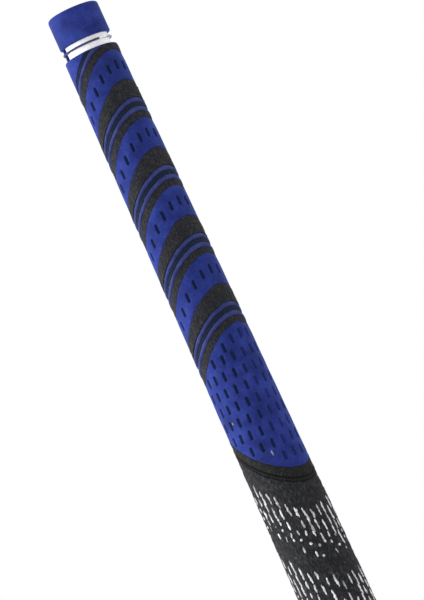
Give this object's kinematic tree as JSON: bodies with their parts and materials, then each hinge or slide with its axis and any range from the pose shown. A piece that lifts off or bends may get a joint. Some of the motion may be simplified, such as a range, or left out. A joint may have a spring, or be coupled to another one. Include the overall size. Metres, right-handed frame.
{
  "type": "golf grip",
  "caption": "Slim tapered golf grip with an open mouth, slanted inlaid rings, a slotted long panel and a corded upper hand ending in a flared cap.",
  "frame": {"origin": "centre of the butt cap's flat face", "axes": "+Z along the bore from the butt cap to the open mouth, -Y towards the side where the rings' crests lie to the right"},
  "size_m": [0.0274, 0.0274, 0.267],
  "materials": {
    "core_rubber": "plain dark moulded rubber",
    "blue_rubber": "matte royal blue rubber with a fine buffed grain",
    "inlay_rubber": "black rubber with a coarse fibrous grain",
    "black_rubber": "black corded rubber with a woven grain",
    "cotton_cord": "white twisted cotton cord",
    "white_paint": "white paint filling a groove"
  },
  "bodies": {
    "root": {"core_sleeve": "core_rubber", "mouth_collar": "blue_rubber", "white_ring_mouth": "white_paint", "white_ring_body": "white_paint", "lower_skin": "blue_rubber", "band_inlay_1": "inlay_rubber", "band_inlay_2": "inlay_rubber", "band_inlay_3": "inlay_rubber", "band_inlay_4": "inlay_rubber", "band_inlay_5": "inlay_rubber", "line_inlay_1": "inlay_rubber", "line_inlay_2": "inlay_rubber", "line_inlay_3": "inlay_rubber", "line_inlay_4": "inlay_rubber", "line_inlay_5": "inlay_rubber", "wide_inlay_1": "inlay_rubber", "wide_inlay_2": "inlay_rubber", "wide_inlay_3": "inlay_rubber", "wide_inlay_4": "inlay_rubber", "break_band": "black_rubber", "cord_ply": "cotton_cord", "cord_sleeve": "black_rubber", "butt_cap": "blue_rubber", "cap_ring": "white_paint"}
  },
  "joints": []
}
